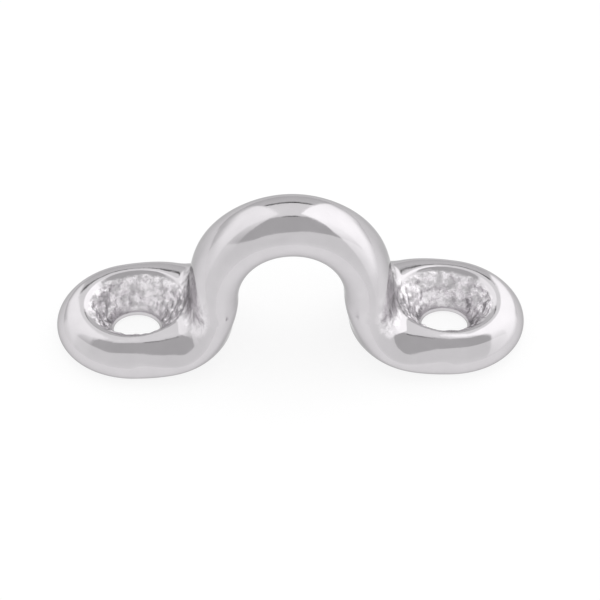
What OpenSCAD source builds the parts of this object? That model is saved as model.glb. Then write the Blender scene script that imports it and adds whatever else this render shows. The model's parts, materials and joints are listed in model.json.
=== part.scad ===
// Pad eye: one casting, with two dished feet and a tall bow of oval bar that bends into them.
// +Z is up and +X runs along the fitting. The origin is the middle of its flat underside.

/* [Feet] */
// Distance between the axes of the two screw holes
hole_spacing = 38.4; // [36:0.1:46]
// Width of a foot, front to back
foot_w = 20.6; // [17:0.1:26]
// How far a foot reaches from its screw hole towards the end of the fitting
foot_outer_reach = 10.1; // [8.5:0.1:13]
// How far a foot reaches in under the bow, past the centre line of the bar
foot_under_bow = 2.3; // [1.5:0.1:4]
// Height of a foot's nearly flat crest, where the bowl is cut
foot_h = 4.55; // [4:0.05:5.5]
// How far the level that cuts the crest flat lies below the top of the dome
crest_drop = 0.25; // [0.05:0.05:0.8]
// Size of the blend between the dome and the levelled crest
crest_blend = 0.9; // [0.8:0.1:1.2]
// Height at which a foot is widest
foot_widest_z = 0.6; // [0.3:0.1:2]
// Width of the rounding from a foot's widest line up to the crest of its rim
rim_slope_w = 4.5; // [2:0.1:5]
// Depth of a foot's curve below its widest line, before the flat base cuts it short
foot_under = 2; // [1.5:0.1:3]
// Rounding where the sides turn under to the flat base
base_round = 3.2; // [0.5:0.1:3.5]

/* [Bow] */
// Radius of the bow's centre line
bow_r = 9.5; // [8:0.1:11.6]
// Height of the centre of the bow's half circle
bow_centre_z = 6.85; // [5.6:0.05:9]
// Thickness of the bar, measured across the bow
bar_t = 6.05; // [5:0.05:7.5]
// Width of the bar at the top of the bow, front to back
bar_w = 9.6; // [7:0.1:12]
// Height of the bar's centre line where it lies level in a foot
bar_foot_z = 2.05; // [1.6:0.05:2.6]
// Thickness of the bar where it lies level in a foot
bar_foot_t = 3.8; // [3:0.1:5]
// How far the sides of the level bar stay inside the sides of a foot
bar_inset = 0.6; // [0.2:0.05:2]
// How late the bar widens on its way down: 1 widens steadily, more keeps it slim for longer
bar_flare = 1.5; // [1:0.1:3]
// How much of the widening goes into the flat middle of the bar: 0 keeps an oval, 1 keeps round sides
bar_flat_share = 0.5; // [0:0.1:1]
// Length of the bar's rounded end inside a foot
bar_end = 5; // [3:0.1:7]
// Size of the blend between the bar and a foot
bar_blend = 2.8; // [0.5:0.1:3.5]

/* [Screw holes] */
// Diameter of the screw hole
hole_d = 5.5; // [4:0.1:6.6]
// Length of the straight hole below the bowl
hole_land = 0.7; // [0.6:0.1:1.5]
// Diameter of the bowl where its wall meets the rounded lip
bowl_d = 11.1; // [9:0.1:12]
// Radius of the bowl's rounded lip
lip_r = 0.5; // [0.2:0.1:0.8]

/* [Hidden] */
$fn = 96;

cut = 1;                            // how far a cutting shape runs past what it cuts
lip_proud = 0.06;                   // height of the lip's rounding above the rim, which ends it in an edge
skin_under = 0.4;                   // depth below the base of the plane that the skin rounds towards
hole_x = hole_spacing / 2;
foot_inner_reach = hole_x - bow_r + foot_under_bow;
crest_z = foot_h + pow(crest_blend - crest_drop, 2) / (4 * crest_blend);   // the blend lowers it to foot_h
dome_h = crest_z + crest_drop;
bar_foot_w = foot_w - 2 * bar_inset;
tip_z = (foot_widest_z + bar_foot_z) / 2;   // height at which a foot reaches furthest, above its rounded base
bend_r = bow_centre_z - bar_foot_z;             // centre line of the bend from a leg into its foot
bend_x = bow_r + bend_r;
bow_path = PI / 2 * bow_r;          // centre line from the top of the bow to the start of a bend
bend_path = PI / 2 * bend_r;

foot_stations = 16;
bend_stations = 12;
bow_stations = 28;
around = 36;                        // points round each section
ray_spread = 1.9;                   // how far the rays of a section lean towards its rounded sides
solve_steps = 15;

// --- Fields: negative inside the metal, zero on its skin, about a distance in millimetres ---

function blend_min(f, g, size) =
    let (share = max(0, min(1, 0.5 + 0.5 * (g - f) / size)))
    g + (f - g) * share - size * share * (1 - share);

function blend_max(f, g, size) = -blend_min(-f, -g, size);

function smooth_step(t) = t * t * (3 - 2 * t);

// The field of an ellipse or an ellipsoid: a point and the half axes, with the same number of terms.
function oval_field(point, half) =
    let (
        count = len(point) - 1,
        near = norm([for (i = [0 : count]) point[i] / half[i]]),
        slope = norm([for (i = [0 : count]) point[i] / (half[i] * half[i])])
    )
    slope < 1e-9 ? -min(half) : near * (near - 1) / slope;

// A foot is a dome with a level crest, and its outline is half an oval towards each end of the fitting.
function foot_field(p) =
    let (
        along = abs(p.x) - hole_x,
        reach = along > 0 ? foot_outer_reach : foot_inner_reach,
        inset = max(oval_field([along, p.y], [reach, foot_w / 2]) + rim_slope_w, 0),
        up = p.z - foot_widest_z,
        dome = oval_field([inset, up], [rim_slope_w, up > 0 ? dome_h - foot_widest_z : foot_under])
    )
    blend_max(dome, p.z - crest_z, crest_blend);

// The bar runs over the bow on a half circle and then bends outwards into the foot, widening as it goes.
function bar_field(p) =
    let (
        up = p.z - bow_centre_z,
        beyond = abs(p.x) - bend_x,
        on_bow = up > 0,
        bow_turn = PI / 180 * atan2(abs(p.x), up),
        bend_turn = beyond > 0 ? PI / 2 : PI / 180 * atan2(-up, -beyond),
        share = (on_bow ? bow_r * bow_turn : bow_path + bend_r * bend_turn) / (bow_path + bend_path),
        across = on_bow ? norm([p.x, up]) - bow_r : bend_r - norm([min(beyond, 0), up]),
        level = on_bow ? 0 : smooth_step(bend_turn / (PI / 2)),
        half_t = (bar_t + (bar_foot_t - bar_t) * level) / 2,
        half_w = (bar_w + (bar_foot_w - bar_w) * smooth_step(pow(share, bar_flare))) / 2,
        flat = (half_w - bar_w / 2) * bar_flat_share,
        beside = max(abs(p.y) - flat, 0),
        past_bend = on_bow ? 0 : max(beyond, 0)
    )
    oval_field([across, beside, past_bend], [half_t, half_w - flat, bar_end]);

function skin_field(p) =
    blend_max(blend_min(foot_field(p), bar_field(p), bar_blend), -skin_under - p.z, base_round);

// --- Skin: rings of points, each found on a ray that leaves the middle of its section ---

function hit(start, way, low, high, steps) =
    let (middle = (low + high) / 2)
    steps == 0 ? start + middle * way
        : skin_field(start + middle * way) < 0 ? hit(start, way, middle, high, steps - 1)
        : hit(start, way, low, middle, steps - 1);

foot_tip = hit([-hole_x, 0, tip_z], [-1, 0, 0], 0, foot_w, solve_steps);

// A section is [its middle, the direction in its plane that points away from the bend].
function foot_section(i) =
    let (
        turn = 90 * i / foot_stations,
        x = foot_tip.x - (bend_x + foot_tip.x) * (1 - cos(turn)),
        z = tip_z + (bar_foot_z - tip_z) * sin(turn)
    )
    [[x, 0, z], [0, 0, -1]];

function bend_section(i) =
    let (turn = 90 * i / bend_stations, way = [sin(turn), 0, -cos(turn)])
    [[-bend_x, 0, bow_centre_z] + bend_r * way, way];

function bow_section(i) =
    let (turn = 180 * i / bow_stations, way = [-cos(turn), 0, sin(turn)])
    [[0, 0, bow_centre_z] + bow_r * way, -way];

function mirrored(section) = [for (v = section) [-v.x, v.y, v.z]];

left_sections = concat(
    [for (i = [1 : foot_stations - 1]) foot_section(i)],
    [for (i = [0 : bend_stations - 1]) bend_section(i)]
);
sections = concat(
    left_sections,
    [for (i = [0 : bow_stations]) bow_section(i)],
    [for (i = [len(left_sections) - 1 : -1 : 0]) mirrored(left_sections[i])]
);

function ring(section) = [
    for (j = [0 : around - 1])
        let (turn = 360 * j / around)
        hit(section[0], cos(turn) * section[1] + ray_spread * sin(turn) * [0, 1, 0], 0, foot_w, solve_steps)
];

module skin() {
    rings = [for (section = sections) each ring(section)];
    last = (len(sections) - 1) * around;
    first_tip = len(rings);
    side = [
        for (i = [0 : len(sections) - 2], j = [0 : around - 1])
            let (
                a = i * around + j, b = i * around + (j + 1) % around,
                c = a + around, d = b + around
            )
            each [[a, c, b], [b, c, d]]
    ];
    ends = [
        for (j = [0 : around - 1])
            let (k = (j + 1) % around)
            each [[first_tip, j, k], [first_tip + 1, last + k, last + j]]
    ];
    polyhedron(concat(rings, [foot_tip], mirrored([foot_tip])), concat(side, ends));
}

// The bowl, its rounded lip and the screw hole, as one turned cutting shape.
module screw_hole() {
    bowl_r = bowl_d / 2;
    lip_x = bowl_r + lip_r;
    lip_z = foot_h + lip_proud - lip_r;
    top = bow_centre_z + bow_r;
    rotate_extrude()
        difference() {
            polygon([
                [0, -cut], [hole_d / 2, -cut], [hole_d / 2, hole_land],
                [bowl_r, lip_z], [lip_x, lip_z], [lip_x, top], [0, top]
            ]);
            translate([lip_x, lip_z]) circle(lip_r);
        }
}

module pad_eye() color("silver")
    difference() {
        skin();
        translate([foot_tip.x - cut, -foot_w / 2 - cut, -2 * cut])
            cube([2 * (cut - foot_tip.x), foot_w + 2 * cut, 2 * cut]);
        for (side = [-1, 1]) translate([side * hole_x, 0, 0]) screw_hole();
    }

pad_eye();
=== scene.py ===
"""A cast pad eye, polished and plated outside and rough in its screw bowls, on a pale studio floor.

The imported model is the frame. One piece replaces its casting: the same skin, found again from the
same formulas on a fine grid, with soft worn edges and a cast surface modelled in the bowls.
Shapes are worked out in millimetres, and the mesh is made in metres.
"""
import json
import math
from collections import namedtuple

import bpy
import numpy as np
from mathutils import Matrix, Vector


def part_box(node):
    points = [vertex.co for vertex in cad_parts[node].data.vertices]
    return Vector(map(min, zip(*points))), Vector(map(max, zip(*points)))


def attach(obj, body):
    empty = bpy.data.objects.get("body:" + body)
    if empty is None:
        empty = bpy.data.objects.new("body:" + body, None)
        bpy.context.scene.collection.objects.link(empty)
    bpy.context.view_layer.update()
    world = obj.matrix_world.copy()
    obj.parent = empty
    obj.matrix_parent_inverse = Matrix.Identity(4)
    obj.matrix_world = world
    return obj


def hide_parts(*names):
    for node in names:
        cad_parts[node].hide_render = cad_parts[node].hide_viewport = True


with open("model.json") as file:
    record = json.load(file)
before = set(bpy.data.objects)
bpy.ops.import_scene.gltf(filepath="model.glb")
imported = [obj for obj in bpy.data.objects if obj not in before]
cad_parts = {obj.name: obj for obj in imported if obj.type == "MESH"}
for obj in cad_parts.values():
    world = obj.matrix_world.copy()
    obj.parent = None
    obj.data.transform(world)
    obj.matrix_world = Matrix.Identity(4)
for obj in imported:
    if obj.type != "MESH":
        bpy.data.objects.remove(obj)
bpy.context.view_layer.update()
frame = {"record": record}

MM = 0.001
TINY = 1e-9
mounts = {mount["name"]: mount for mount in frame["record"]["mounts"]}

# --- The casting's sizes in millimetres, named as in the CAD source, but with foot_w and hole_d halved ---

HOLE_X = mounts["screw_hole_right"]["pos_m"][0] / MM
HOLE_R = mounts["screw_hole_right"]["dims"]["r_mm"]
FOOT_HALF_W = 10.3
FOOT_OUTER_REACH = 10.1
FOOT_UNDER_BOW = 2.3
FOOT_H = 4.55
CREST_DROP = 0.25
CREST_BLEND = 0.9
FOOT_WIDEST_Z = 0.6
FOOT_UNDER = 2.0
RIM_SLOPE_W = 4.5
BASE_ROUND = 3.2
BOW_R = 9.5
BOW_CENTRE_Z = 6.85
BAR_T = 6.05
BAR_W = 9.6
BAR_FOOT_Z = 2.05
BAR_FOOT_T = 3.8
BAR_INSET = 0.6
BAR_FLARE = 1.5
BAR_FLAT_SHARE = 0.5
BAR_END = 5.0
BAR_BLEND = 2.8
SKIN_UNDER = 0.4

CREST_Z = FOOT_H + (CREST_BLEND - CREST_DROP) ** 2 / (4 * CREST_BLEND)
DOME_H = CREST_Z + CREST_DROP
FOOT_INNER_REACH = HOLE_X - BOW_R + FOOT_UNDER_BOW
BAR_FOOT_W = 2 * (FOOT_HALF_W - BAR_INSET)
BEND_R = BOW_CENTRE_Z - BAR_FOOT_Z
BEND_X = BOW_R + BEND_R
BOW_PATH = math.pi / 2 * BOW_R
BEND_PATH = math.pi / 2 * BEND_R

# --- The bowls and the edges. The lip is a smooth blend here, so the bowl's sizes differ a little from
# the CAD's, and the bowl ends up where the CAD has it ---

HOLE_LAND = 0.6             # height of the screw hole's straight wall
BOWL_R = 5.83               # radius of the bowl's mouth, before its lip is rounded
LIP_BLEND = 1.0
EDGE_WEAR = 0.25            # rounding of the edges of the base and of the screw holes

# --- The mesh ---

GRID = 0.16                 # spacing of the grid that the skin is found on
GRID_MARGIN = 0.8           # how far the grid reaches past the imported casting
SETTLE_STEPS = 4            # moves of each point onto the true skin
SLOPE_STEP = 0.02           # how far from a point its slope is measured
NOISE_CELLS = 64            # cells along each side of a table of random values

# --- The rough cast surface. A pair of limits is where a change starts and where it is complete ---

CAST_WAVES = ((1.2, 0.15), (0.6, 0.14), (0.36, 0.08))       # sizes and heights of its bumps
CAST_DEPTH = (0.22, 0.52)   # depth below the outside of the casting
CAST_FROM_HOLE = (0.0, 0.9)     # distance from the wall of the screw hole, whose edge stays clean
CAST_LOWEST_Z = 0.3         # below this the skin is the clean base
CAST_REACH = 0.5            # how far from the bowl's cone the rough skin reaches
FLANK_FACING = (0.3, 0.65)  # how squarely the flank of a leg faces its bowl
FLANK_BOTTOM = (FOOT_H - 0.3, FOOT_H + 0.3)
FLANK_TOP = (10.5, 7.0)
FLANK_END_X = HOLE_X - BOWL_R + 0.5
FLANK_ROUGH = 0.5           # how rough the flank is, where a bowl is 1

# --- Finishes. Four values are a ramp over a noise: where it starts and ends, and what it goes between ---

PLATE_TONE = (0.2, 0.8, 0.62, 0.655)
PLATE_ROUGHNESS = (0.3, 0.7, 0.06, 0.13)
PLATE_GREEN = 0.97          # green part of the metal's tone
PLATE_GRAZING = 0.6         # tint of reflections seen along the surface
CAST_TONE = (0.37, 0.6, 0.6, 0.99)
CAST_ROUGHNESS = (0.35, 0.65, 0.09, 0.22)
BUFFING_SIZE = 4.0          # soft waves left by the buffing wheel
BUFFING_HEIGHT = 0.06
PEEL_SIZE = 0.5             # fine orange peel in the plating
PEEL_HEIGHT = 0.008
PEEL_SHARE = (0.35, 0.7, 0.2, 1.0)
PATCH_SIZE = 2.5            # patches that are buffed more and less
PIT_SIZE = 0.28             # pits in the cast surface
PIT_HEIGHT = 0.12
STAIN_SIZE = 1.3            # lighter and darker stains in the bowls
FLOOR_TONE = (0.3, 0.7, 0.22, 0.225)
FLOOR_GLOW = 0.8
FLOOR_ROUGHNESS = 0.9
FLOOR_MOTTLE = 60.0         # size of the floor's faint mottling

# --- The studio: how bright each part is, where the floor is about 1 ---

WALLS = 0.88
WALLS_LOW = 0.96            # the walls near the floor
CEILING = 0.56
CORRIDOR = 1.0              # the wall behind the object, between the soft boxes
BACK = 0.76                 # the lower part of that wall
SEAM = 0.05                 # thin dark seams

# --- The studio: its edges, by elevation behind the object or by the normal of a plane through the
# object, where x is to the right, y away from the camera and z up ---

RIGHT = (1, 0, 0)
LEFT = (-1, 0, 0)
BEHIND = (0, 1, 0)
UP = (0, 0, 1)
CEILING_FRONT = ((-0.29, 0.854, 0.43), (-0.09, 0.889, 0.447))
CEILING_LEFT = (0.486, 0.558, 0.672)
CORRIDOR_TOP = math.radians(66)
BACK_TOP = math.radians(28)         # one seam runs along this edge
STRIP_HEIGHT = math.radians(67)     # the other seam is a short strip over the corridor
SEAM_ENDS = ((1, 0.3, 0), (-1, 0.3, 0))
BOX_INNER = (0.95, -0.312, 0)       # three edges of the right soft box, which the left one mirrors
BOX_LOWER = (0.547, 0.668, -0.504)
BOX_FADE = (-0.5, 0.87, 0)

# --- The studio: how soft an edge is and how far off its plane, as sines of angles ---

CRISP = 0.006
CLEAN = 0.02
SOFT = 0.03
CEILING_LEFT_SOFT = 0.04
BACK_SOFT = 0.05
FLOOR_SOFT = 0.14
WALLS_SOFT = 0.3
BOX_FADE_SOFT = 0.75
WALLS_MIDDLE = 0.2
BACK_NEAREST = 0.6
SEAM_NEAREST = 0.4
SEAM_HALF_WIDTH = 0.032
STRIP_HALF_WIDTH = 0.015
STRIP_TO_LEFT = 0.12
STRIP_TO_RIGHT = 0.14

SoftBox = namedtuple("SoftBox", "sign light fade_middle lowest")
RIGHT_BOX = SoftBox(sign=1, light=1.52, fade_middle=-0.5, lowest=0.08)
LEFT_BOX = SoftBox(sign=-1, light=1.3, fade_middle=-0.1, lowest=0.2)

# --- The floor and the lamp, in metres and watts ---

FLOOR_SIZE = 4.0
LAMP_SIZE = 0.5
LAMP_POWER = 0.6
LAMP_PLACE = (0, 0.1, 0.8)

# --- The camera ---

VIEW_ELEVATION = math.radians(39.94)
VIEW_TURN = math.radians(-1.77)
VIEW_ROLL = math.radians(0.37)
VIEW_DISTANCE = 289.6 * MM
VIEW_WIDTH = 75 * MM                # what the picture spans at the object
VIEW_SHIFT = (0.01535, 0.0486)      # how far the framing stands off the object's middle
SENSOR_WIDTH = 36
CLIP_START = 10 * MM


# --- Fields: negative inside the metal, zero on its skin, about a distance in millimetres ---

def blend_min(f, g, size):
    share = np.clip(0.5 + 0.5 * (g - f) / size, 0, 1)
    return g + (f - g) * share - size * share * (1 - share)


def blend_max(f, g, size):
    return -blend_min(-f, -g, size)


def smooth_step(t):
    t = np.clip(t, 0, 1)
    return t * t * (3 - 2 * t)


def change(value, start, end):
    """Goes smoothly from 0 to 1 as the value goes from the start to the end."""
    return smooth_step((value - start) / (end - start))


def oval_field(*terms):
    """The field of an ellipse or ellipsoid, from pairs of a coordinate and its half axis."""
    near = np.sqrt(sum((value / half) ** 2 for value, half in terms)) + TINY
    slope = np.sqrt(sum((value / half ** 2) ** 2 for value, half in terms)) + TINY
    return near * (near - 1) / slope


def foot_field(x, y, z):
    """A dome with a level crest, whose outline is half an oval towards each end of the fitting."""
    along = np.abs(x) - HOLE_X
    reach = np.where(along > 0, FOOT_OUTER_REACH, FOOT_INNER_REACH)
    inset = np.maximum(oval_field((along, reach), (y, FOOT_HALF_W)) + RIM_SLOPE_W, 0)
    up = z - FOOT_WIDEST_Z
    height = np.where(up > 0, DOME_H - FOOT_WIDEST_Z, FOOT_UNDER)
    dome = oval_field((inset, RIM_SLOPE_W), (up, height))
    return blend_max(dome, z - CREST_Z, CREST_BLEND)


def bar_field(x, y, z):
    """The bar runs over the bow on a half circle and then bends outwards into the foot."""
    out = np.abs(x)
    up = z - BOW_CENTRE_Z
    beyond = out - BEND_X
    on_bow = up > 0
    bow_turn = np.arctan2(out, up)
    bend_turn = np.arctan2(-up, np.maximum(-beyond, TINY))
    travelled = np.where(on_bow, BOW_R * bow_turn, BOW_PATH + BEND_R * bend_turn)
    share = np.clip(travelled / (BOW_PATH + BEND_PATH), 0, 1)
    across = np.where(on_bow, np.hypot(x, up) - BOW_R, BEND_R - np.hypot(np.minimum(beyond, 0), up))
    level = np.where(on_bow, 0, smooth_step(bend_turn / (math.pi / 2)))
    half_t = (BAR_T + (BAR_FOOT_T - BAR_T) * level) / 2
    half_w = (BAR_W + (BAR_FOOT_W - BAR_W) * smooth_step(share ** BAR_FLARE)) / 2
    past_bend = np.where(on_bow, 0, np.maximum(beyond, 0))
    flat = (half_w - BAR_W / 2) * BAR_FLAT_SHARE
    beside = np.maximum(np.abs(y) - flat, 0)
    return oval_field((across, half_t), (beside, half_w - flat), (past_bend, BAR_END))


def skin_field(x, y, z):
    """The outside of the casting, before its base is cut flat and its bowls are cut out."""
    skin = blend_min(foot_field(x, y, z), bar_field(x, y, z), BAR_BLEND)
    return blend_max(skin, -SKIN_UNDER - z, BASE_ROUND)


def bowl_field(x, y, z):
    """A cone that opens upwards from the screw hole and turns into a straight wall at the lip."""
    from_axis = np.hypot(np.abs(x) - HOLE_X, y)
    slope = (BOWL_R - HOLE_R) / (FOOT_H - HOLE_LAND)
    cone = (from_axis - HOLE_R - slope * (z - HOLE_LAND)) / math.hypot(1, slope)
    return np.maximum(cone, from_axis - BOWL_R)


def hole_field(x, y):
    return np.hypot(np.abs(x) - HOLE_X, y) - HOLE_R


def casting_field(x, y, z):
    field = blend_max(skin_field(x, y, z), -z, EDGE_WEAR)
    field = blend_max(field, -bowl_field(x, y, z), LIP_BLEND)
    return blend_max(field, -hole_field(x, y), EDGE_WEAR)


# --- The mesh ---

def grid_values(low, high):
    """Samples of the casting's field on a grid, and the grid's first corner."""
    xs, ys, zs = (np.arange(low[i] - GRID_MARGIN, high[i] + GRID_MARGIN, GRID) for i in range(3))
    y, z = np.meshgrid(ys, zs, indexing="ij")
    values = np.empty((len(xs), len(ys), len(zs)), np.float32)
    for i, x in enumerate(xs):
        values[i] = casting_field(np.full_like(y, x), y, z)
    return values, np.array([xs[0], ys[0], zs[0]])


def net(values):
    """A quad mesh with one point in each grid cell that the skin passes through."""
    inside = values < 0
    shape = np.array(values.shape)
    corners = [(i, j, k) for i in (0, 1) for j in (0, 1) for k in (0, 1)]
    count = sum(
        inside[i:shape[0] - 1 + i, j:shape[1] - 1 + j, k:shape[2] - 1 + k].astype(np.int8)
        for i, j, k in corners
    )
    crossed = (count > 0) & (count < len(corners))
    cells = np.argwhere(crossed)
    number = np.full(crossed.shape, -1, np.int32)
    number[crossed] = np.arange(len(cells))
    total = np.zeros(cells.shape)
    hits = np.zeros(len(cells))
    quads = []
    for axis in range(3):
        along = np.eye(3, dtype=int)[axis]
        side_a = np.eye(3, dtype=int)[(axis + 1) % 3]
        side_b = np.eye(3, dtype=int)[(axis + 2) % 3]
        for corner in (0 * side_a, side_a, side_b, side_a + side_b):
            start = values[tuple((cells + corner).T)]
            end = values[tuple((cells + corner + along).T)]
            crossing = (start < 0) != (end < 0)
            share = np.where(crossing, start / np.where(crossing, start - end, 1), 0)
            total += np.where(crossing[:, None], corner + share[:, None] * along, 0)
            hits += crossing
        last = shape - along
        first_half = inside[:last[0], :last[1], :last[2]]
        changes = np.argwhere(first_half != inside[along[0]:, along[1]:, along[2]:])
        ring = [number[tuple((changes - step).T)] for step in (0 * side_a, side_a, side_a + side_b, side_b)]
        ring = np.stack(ring, axis=1)
        leaving = inside[tuple(changes.T)]
        quads.append(np.where(leaving[:, None], ring, ring[:, ::-1]))
    return cells + total / hits[:, None], np.concatenate(quads)


def gradient(points):
    """The direction in which the casting's field grows, at each point."""
    slopes = [
        casting_field(*(points + SLOPE_STEP * way).T) - casting_field(*(points - SLOPE_STEP * way).T)
        for way in np.eye(3)
    ]
    return np.stack(slopes, axis=1) / (2 * SLOPE_STEP)


def settled(points):
    """The points, moved along the field's gradient onto the true skin."""
    longest = GRID / 2
    for _ in range(SETTLE_STEPS):
        slope = gradient(points)
        move = -casting_field(*points.T)[:, None] * slope / np.sum(slope ** 2, axis=1)[:, None]
        length = np.linalg.norm(move, axis=1)[:, None]
        points = points + move * np.minimum(1, longest / np.maximum(length, TINY))
    return points


def noise(points, size, seed):
    """Smooth random values from -1 to 1 that change over about the given size."""
    table = np.random.default_rng(seed).uniform(-1, 1, (NOISE_CELLS, NOISE_CELLS, NOISE_CELLS))
    place = points / size
    cell = np.floor(place).astype(int)
    share = smooth_step(place - cell)
    value = np.zeros(len(points))
    for i in (0, 1):
        for j in (0, 1):
            for k in (0, 1):
                weight = np.prod(np.where([i, j, k], share, 1 - share), axis=1)
                value += weight * table[tuple(((cell + [i, j, k]) % NOISE_CELLS).T)]
    return value


def roughness_share(points, normal):
    """How rough the skin was left: 1 in the bowls, less on the flank beside them, 0 outside."""
    x, y, z = points.T
    in_bowl = change(-skin_field(x, y, z), *CAST_DEPTH) * change(hole_field(x, y), *CAST_FROM_HOLE)
    in_bowl *= (bowl_field(x, y, z) < CAST_REACH) & (z > CAST_LOWEST_Z)
    beside = change(np.sign(x) * normal[:, 0], *FLANK_FACING)
    beside *= change(z, *FLANK_BOTTOM) * change(z, *FLANK_TOP) * (np.abs(x) < FLANK_END_X)
    return np.maximum(in_bowl, FLANK_ROUGH * beside)


def casting_points():
    """The points and quads of the skin, with its rough parts, and how rough each point is."""
    low, high = (np.array(corner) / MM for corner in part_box("pad_eye"))
    values, origin = grid_values(low, high)
    points, quads = net(values)
    points = settled(origin + GRID * points)
    slope = gradient(points)
    normal = slope / np.linalg.norm(slope, axis=1)[:, None]
    rough = roughness_share(points, normal)
    rise = sum(height * noise(points, size, seed) for seed, (size, height) in enumerate(CAST_WAVES))
    points = points + (rough ** 2 * rise)[:, None] * normal
    points[:, 2] = np.maximum(points[:, 2], 0)
    return points, quads, rough


def casting_mesh():
    points, quads, rough = casting_points()
    corners = quads.shape[1]
    mesh = bpy.data.meshes.new("pad_eye_skin")
    mesh.vertices.add(len(points))
    mesh.vertices.foreach_set("co", (points * MM).astype(np.float32).ravel())
    mesh.loops.add(quads.size)
    mesh.loops.foreach_set("vertex_index", quads.astype(np.int32).ravel())
    mesh.polygons.add(len(quads))
    mesh.polygons.foreach_set("loop_start", np.arange(0, quads.size, corners, dtype=np.int32))
    mesh.update(calc_edges=True)
    mesh.shade_smooth()
    cast = mesh.attributes.new("cast", "FLOAT", "POINT")
    cast.data.foreach_set("value", rough.astype(np.float32))
    mesh.validate()
    return mesh


# --- Materials ---

class Nodes:
    """A short way to add and join shader nodes."""

    def __init__(self, owner):
        owner.use_nodes = True
        self.tree = owner.node_tree
        self.tree.nodes.clear()

    def add(self, kind, inputs=(), **settings):
        node = self.tree.nodes.new(kind)
        for name, value in settings.items():
            setattr(node, name, value)
        for key, value in dict(inputs).items():
            self.give(node.inputs[key], value)
        return node

    def give(self, socket, value):
        if isinstance(value, bpy.types.NodeSocket):
            self.tree.links.new(value, socket)
        else:
            socket.default_value = value

    def multiply(self, a, b):
        return self.add("ShaderNodeMath", {0: a, 1: b}, operation="MULTIPLY").outputs[0]

    def mix(self, share, low, high):
        """Goes from the low value or socket to the high one as the share goes from 0 to 1."""
        node = self.add("ShaderNodeMix", {0: share}, data_type="FLOAT")
        self.give(node.inputs[2], low)
        self.give(node.inputs[3], high)
        return node.outputs[0]

    def ramp(self, value, start, end, low=0.0, high=1.0):
        """Goes smoothly from low to high as the value goes from the start to the end."""
        inputs = {"Value": value, "From Min": start, "From Max": end, "To Min": low, "To Max": high}
        return self.add("ShaderNodeMapRange", inputs, interpolation_type="SMOOTHSTEP").outputs[0]

    def texture(self, place, size, detail=2.0, rough=0.5):
        """Noise that changes over about the given size in millimetres."""
        inputs = {"Vector": place, "Scale": 1 / (size * MM), "Detail": detail, "Roughness": rough}
        return self.add("ShaderNodeTexNoise", inputs).outputs["Fac"]

    def bump(self, height, distance, normal=None):
        """A normal bent by a height, which stands for the given distance in millimetres."""
        inputs = {"Height": height, "Distance": distance * MM, "Strength": 1.0}
        if normal is not None:
            inputs["Normal"] = normal
        return self.add("ShaderNodeBump", inputs).outputs[0]

    def grey(self, value, green=1.0):
        """A grey whose green part is scaled."""
        middle = self.multiply(value, green)
        return self.add("ShaderNodeCombineColor", {0: value, 1: middle, 2: value}).outputs[0]


def plated_metal():
    """Bright plating over a casting: buffed but a little wavy outside, pitted and duller in the bowls."""
    material = bpy.data.materials.new("polished_plate")
    nodes = Nodes(material)
    place = nodes.add("ShaderNodeTexCoord").outputs["Object"]
    cast = nodes.add("ShaderNodeAttribute", attribute_name="cast").outputs["Fac"]
    buffing = nodes.texture(place, BUFFING_SIZE, detail=1.0)
    peel = nodes.texture(place, PEEL_SIZE)
    patches = nodes.texture(place, PATCH_SIZE, detail=3.0)
    pits = nodes.texture(place, PIT_SIZE, detail=4.0, rough=0.65)
    stains = nodes.texture(place, STAIN_SIZE, detail=5.0, rough=0.6)
    normal = nodes.bump(buffing, BUFFING_HEIGHT)
    normal = nodes.bump(nodes.multiply(peel, nodes.ramp(patches, *PEEL_SHARE)), PEEL_HEIGHT, normal)
    normal = nodes.bump(nodes.multiply(pits, cast), PIT_HEIGHT, normal)
    plate_tone = nodes.ramp(patches, *PLATE_TONE)
    cast_tone = nodes.ramp(stains, *CAST_TONE)
    plate_roughness = nodes.ramp(patches, *PLATE_ROUGHNESS)
    cast_roughness = nodes.ramp(pits, *CAST_ROUGHNESS)
    shader = nodes.add("ShaderNodeBsdfPrincipled", {
        "Base Color": nodes.grey(nodes.mix(cast, plate_tone, cast_tone), PLATE_GREEN),
        "Metallic": 1.0,
        "Specular Tint": (PLATE_GRAZING, PLATE_GRAZING, PLATE_GRAZING, 1),
        "Roughness": nodes.mix(cast, plate_roughness, cast_roughness),
        "Normal": normal,
    })
    nodes.add("ShaderNodeOutputMaterial", {"Surface": shader.outputs[0]})
    return material


def floor_finish():
    """Pale studio paper, lit mostly from inside, so that it stays near white round the object."""
    material = bpy.data.materials.new("pale_floor")
    nodes = Nodes(material)
    place = nodes.add("ShaderNodeTexCoord").outputs["Object"]
    tone = nodes.ramp(nodes.texture(place, FLOOR_MOTTLE), *FLOOR_TONE)
    shader = nodes.add("ShaderNodeBsdfPrincipled", {
        "Base Color": nodes.grey(tone), "Roughness": FLOOR_ROUGHNESS, "Specular IOR Level": 0.0,
        "Emission Color": (1, 1, 1, 1), "Emission Strength": FLOOR_GLOW,
    })
    nodes.add("ShaderNodeOutputMaterial", {"Surface": shader.outputs[0]})
    return material


# --- The studio ---

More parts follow.
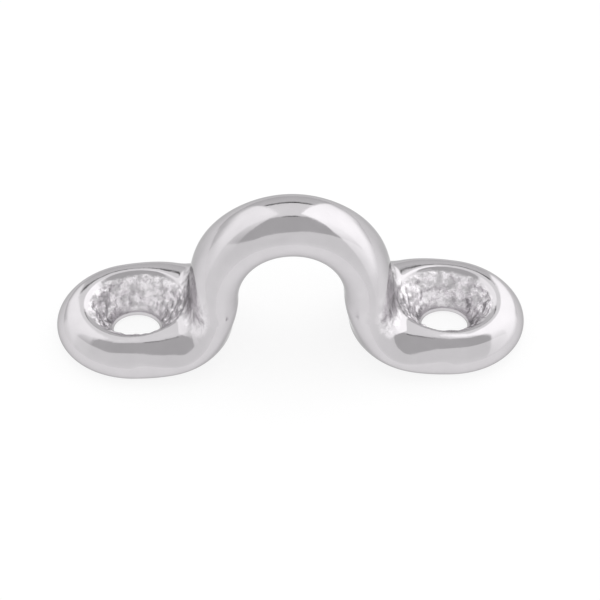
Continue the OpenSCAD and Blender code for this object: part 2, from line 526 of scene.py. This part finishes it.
class Sky:
    """Masks over the directions seen from the object."""

    def __init__(self, nodes):
        self.nodes = nodes
        self.way = nodes.add("ShaderNodeTexCoord").outputs["Generated"]

    def side(self, normal, soft=CLEAN, offset=0.0):
        """1 on the side of a plane that its normal points to, and 0 on the other, with a soft edge."""
        length = math.hypot(*normal)
        inputs = {0: self.way, 1: tuple(value / length for value in normal)}
        dot = self.nodes.add("ShaderNodeVectorMath", inputs, operation="DOT_PRODUCT").outputs["Value"]
        return self.nodes.ramp(dot, offset - soft, offset + soft)

    def below(self, elevation, soft=CLEAN, offset=0.0):
        """1 behind the object up to an elevation, and 0 over it."""
        return self.side((0, math.sin(elevation), -math.cos(elevation)), soft, offset)

    def above(self, elevation, soft, offset):
        """0 behind the object up to an elevation, and 1 over it."""
        return self.side((0, -math.sin(elevation), math.cos(elevation)), soft, offset)

    def line(self, elevation, half_width):
        """1 on a level line behind the object, and 0 off it."""
        below_top = self.below(elevation, CRISP, -half_width)
        above_bottom = self.above(elevation, CRISP, -half_width)
        return self.all_of(below_top, above_bottom)

    def soft_box(self, box):
        """1 in a large soft box over the back left or right, fading out towards its own side."""
        inner, lower, fade = ((box.sign * x, y, z) for x, y, z in (BOX_INNER, BOX_LOWER, BOX_FADE))
        above_floor = self.side(UP, FLOOR_SOFT, box.lowest)
        fading = self.side(fade, BOX_FADE_SOFT, box.fade_middle)
        return self.all_of(self.side(inner), self.side(lower, SOFT), fading, above_floor)

    def all_of(self, *masks):
        product = masks[0]
        for mask in masks[1:]:
            product = self.nodes.multiply(product, mask)
        return product


def studio():
    """Walls, a darker ceiling, soft boxes and dark seams, all as far away as the sky."""
    world = bpy.data.worlds.new("studio")
    bpy.context.scene.world = world
    nodes = Nodes(world)
    sky = Sky(nodes)
    ceiling_front = [sky.side(edge) for edge in CEILING_FRONT]
    ceiling = sky.all_of(*ceiling_front, sky.side(CEILING_LEFT, CEILING_LEFT_SOFT))
    corridor = sky.all_of(sky.below(CORRIDOR_TOP, SOFT), sky.side(BEHIND))
    back = sky.all_of(sky.below(BACK_TOP), sky.side(BEHIND, BACK_SOFT, BACK_NEAREST))
    seam_ends = [sky.side(edge, SOFT) for edge in SEAM_ENDS]
    seam_ends.append(sky.side(BEHIND, BACK_SOFT, SEAM_NEAREST))
    seam = sky.all_of(sky.line(BACK_TOP, SEAM_HALF_WIDTH), *seam_ends)
    strip_ends = [sky.side(RIGHT, SOFT, -STRIP_TO_LEFT), sky.side(LEFT, SOFT, -STRIP_TO_RIGHT)]
    strip = sky.all_of(sky.line(STRIP_HEIGHT, STRIP_HALF_WIDTH), *strip_ends)
    light = nodes.mix(sky.side(UP, WALLS_SOFT, WALLS_MIDDLE), WALLS_LOW, WALLS)
    light = nodes.mix(ceiling, light, CEILING)
    light = nodes.mix(corridor, light, CORRIDOR)
    light = nodes.mix(back, light, BACK)
    for box in (RIGHT_BOX, LEFT_BOX):
        light = nodes.mix(sky.soft_box(box), light, box.light)
    light = nodes.mix(seam, light, SEAM)
    light = nodes.mix(strip, light, SEAM)
    background = nodes.add("ShaderNodeBackground", {"Color": nodes.grey(light), "Strength": 1.0})
    nodes.add("ShaderNodeOutputWorld", {"Surface": background.outputs[0]})


def floor():
    half = FLOOR_SIZE / 2
    corners = [(-half, -half, 0), (half, -half, 0), (half, half, 0), (-half, half, 0)]
    mesh = bpy.data.meshes.new("floor")
    mesh.from_pydata(corners, [], [(0, 1, 2, 3)])
    mesh.materials.append(floor_finish())
    floor_object = bpy.data.objects.new("floor", mesh)
    bpy.context.collection.objects.link(floor_object)


def soft_light():
    """One large lamp high above the object, for a faint soft shadow round the feet."""
    lamp = bpy.data.lights.new("soft_light", "AREA")
    lamp.shape = "DISK"
    lamp.size = LAMP_SIZE
    lamp.energy = LAMP_POWER
    lamp_object = bpy.data.objects.new("soft_light", lamp)
    lamp_object.location = LAMP_PLACE
    lamp_object.visible_glossy = False
    lamp_object.visible_camera = False
    bpy.context.collection.objects.link(lamp_object)


def camera():
    back = np.array([0, -math.cos(VIEW_ELEVATION), math.sin(VIEW_ELEVATION)])
    level = np.array([1.0, 0, 0])
    upright = np.cross(back, level)
    right = math.cos(VIEW_ROLL) * level + math.sin(VIEW_ROLL) * upright
    up = np.cross(back, right)
    turn = np.array(Matrix.Rotation(VIEW_TURN, 3, "Z"))
    axes = turn @ np.stack([right, up, back], axis=1)
    data = bpy.data.cameras.new("camera")
    data.sensor_width = SENSOR_WIDTH
    data.lens = SENSOR_WIDTH * VIEW_DISTANCE / VIEW_WIDTH
    data.shift_x, data.shift_y = VIEW_SHIFT
    data.clip_start = CLIP_START
    camera_object = bpy.data.objects.new("camera", data)
    pose = Matrix([list(row) for row in axes]).to_4x4()
    pose.translation = axes[:, 2] * VIEW_DISTANCE
    camera_object.matrix_world = pose
    bpy.context.collection.objects.link(camera_object)
    bpy.context.scene.camera = camera_object


# --- The scene ---

camera()
studio()
floor()
soft_light()

casting = bpy.data.objects.new("pad_eye_casting", casting_mesh())
casting.data.materials.append(plated_metal())
bpy.context.collection.objects.link(casting)
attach(casting, "root")
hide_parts("pad_eye")
bpy.context.scene.view_settings.view_transform = "Standard"
